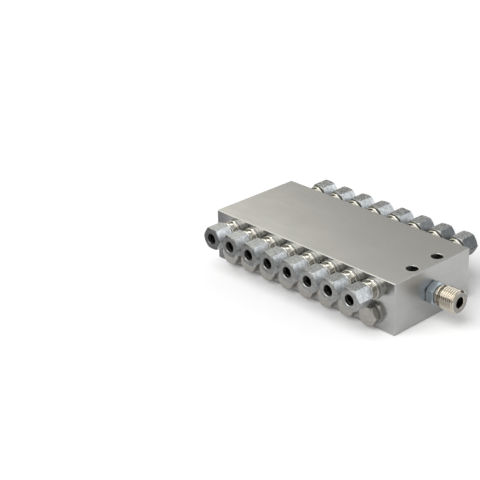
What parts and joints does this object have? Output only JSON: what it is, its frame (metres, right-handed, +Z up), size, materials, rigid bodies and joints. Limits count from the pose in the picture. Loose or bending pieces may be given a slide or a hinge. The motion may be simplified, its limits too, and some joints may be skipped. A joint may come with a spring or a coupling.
{
  "type": "lubricant divider block",
  "caption": "Progressive divider block: a flat metal block whose sliding spools share grease or oil from one inlet among tube fittings along both long sides.",
  "frame": {"origin": "middle of the block's bottom face, which is the mounting face", "axes": "+X along the block towards the inlet, +Y across it to the back row of outlets, +Z up"},
  "size_m": [0.1533, 0.0968, 0.03],
  "materials": {
    "ground_steel": "ground and plated",
    "nickel_plate": "nickel plated",
    "satin_zinc": "satin zinc plated",
    "bright_zinc": "bright plated",
    "plug_zinc": "zinc plated",
    "seal_steel": "plain",
    "lapped_steel": "lapped",
    "black_rubber": "matte"
  },
  "bodies": {
    "block": {"divider_block": "ground_steel", "inlet_adapter": "nickel_plate", "inlet_seal_ring": "black_rubber", "front_outlet_body_1": "bright_zinc", "front_union_nut_1": "satin_zinc", "front_outlet_body_2": "bright_zinc", "front_union_nut_2": "satin_zinc", "front_outlet_body_3": "bright_zinc", "front_union_nut_3": "satin_zinc", "front_outlet_body_4": "bright_zinc", "front_union_nut_4": "satin_zinc", "front_outlet_body_5": "bright_zinc", "front_union_nut_5": "satin_zinc", "front_outlet_body_6": "bright_zinc", "front_union_nut_6": "satin_zinc", "front_outlet_body_7": "bright_zinc", "front_union_nut_7": "satin_zinc", "front_outlet_body_8": "bright_zinc", "front_union_nut_8": "satin_zinc", "front_outlet_seals": "seal_steel", "front_cutting_rings": "lapped_steel", "front_bore_plugs": "plug_zinc", "front_plug_washers": "seal_steel", "back_outlet_body_1": "bright_zinc", "back_union_nut_1": "satin_zinc", "back_outlet_body_2": "bright_zinc", "back_union_nut_2": "satin_zinc", "back_outlet_body_3": "bright_zinc", "back_union_nut_3": "satin_zinc", "back_outlet_body_4": "bright_zinc", "back_union_nut_4": "satin_zinc", "back_outlet_body_5": "bright_zinc", "back_union_nut_5": "satin_zinc", "back_outlet_body_6": "bright_zinc", "back_union_nut_6": "satin_zinc", "back_outlet_body_7": "bright_zinc", "back_union_nut_7": "satin_zinc", "back_outlet_body_8": "bright_zinc", "back_union_nut_8": "satin_zinc", "back_outlet_seals": "seal_steel", "back_cutting_rings": "lapped_steel", "back_bore_plugs": "plug_zinc", "back_plug_washers": "seal_steel"},
    "piston_body_1": {"piston_1": "lapped_steel"},
    "piston_body_2": {"piston_2": "lapped_steel"},
    "piston_body_3": {"piston_3": "lapped_steel"},
    "piston_body_4": {"piston_4": "lapped_steel"},
    "piston_body_5": {"piston_5": "lapped_steel"},
    "piston_body_6": {"piston_6": "lapped_steel"},
    "piston_body_7": {"piston_7": "lapped_steel"},
    "piston_body_8": {"piston_8": "lapped_steel"}
  },
  "joints": [
    {"name": "piston_1_stroke", "type": "slide", "parent": "block", "child": "piston_body_1", "axis": [0, -1, 0], "range_m": [0, 0.006]},
    {"name": "piston_2_stroke", "type": "slide", "parent": "block", "child": "piston_body_2", "axis": [0, -1, 0], "range_m": [0, 0.006]},
    {"name": "piston_3_stroke", "type": "slide", "parent": "block", "child": "piston_body_3", "axis": [0, -1, 0], "range_m": [0, 0.006]},
    {"name": "piston_4_stroke", "type": "slide", "parent": "block", "child": "piston_body_4", "axis": [0, -1, 0], "range_m": [0, 0.006]},
    {"name": "piston_5_stroke", "type": "slide", "parent": "block", "child": "piston_body_5", "axis": [0, -1, 0], "range_m": [0, 0.006]},
    {"name": "piston_6_stroke", "type": "slide", "parent": "block", "child": "piston_body_6", "axis": [0, -1, 0], "range_m": [0, 0.006]},
    {"name": "piston_7_stroke", "type": "slide", "parent": "block", "child": "piston_body_7", "axis": [0, -1, 0], "range_m": [0, 0.006]},
    {"name": "piston_8_stroke", "type": "slide", "parent": "block", "child": "piston_body_8", "axis": [0, -1, 0], "range_m": [0, 0.006]}
  ]
}
